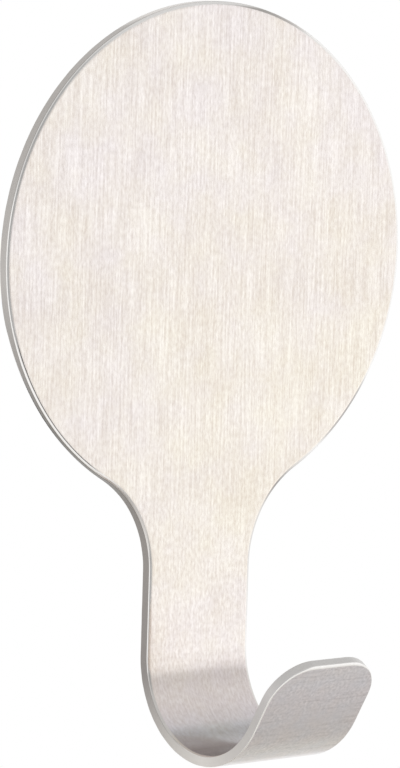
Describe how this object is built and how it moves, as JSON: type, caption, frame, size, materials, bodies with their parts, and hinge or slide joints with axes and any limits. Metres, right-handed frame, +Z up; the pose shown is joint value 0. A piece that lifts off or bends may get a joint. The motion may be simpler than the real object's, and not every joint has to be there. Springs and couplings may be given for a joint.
{
  "type": "adhesive wall hook",
  "caption": "Self-adhesive wall hook: a round brushed steel disc whose neck bends forward into an open hook, with a foam pad and a peel-off liner behind.",
  "frame": {"origin": "centre of the disc, on the plane that meets the wall", "axes": "+Y into the wall, so the front faces -Y; +Z up the wall, from the hook to the disc"},
  "size_m": [0.0504, 0.0233, 0.0751],
  "materials": {
    "brushed_steel_sheet": "satin",
    "acrylic_adhesive": "gloss",
    "white_foam": "matte",
    "liner_paper": "satin"
  },
  "bodies": {
    "hook": {"hook_plate": "brushed_steel_sheet", "plate_adhesive": "acrylic_adhesive", "foam_core": "white_foam", "wall_adhesive": "acrylic_adhesive"},
    "liner": {"release_liner": "liner_paper"}
  },
  "joints": [
    {"name": "liner_peel", "type": "slide", "parent": "hook", "child": "liner", "axis": [0, 1, 0], "range_m": [0, 0.03]}
  ]
}
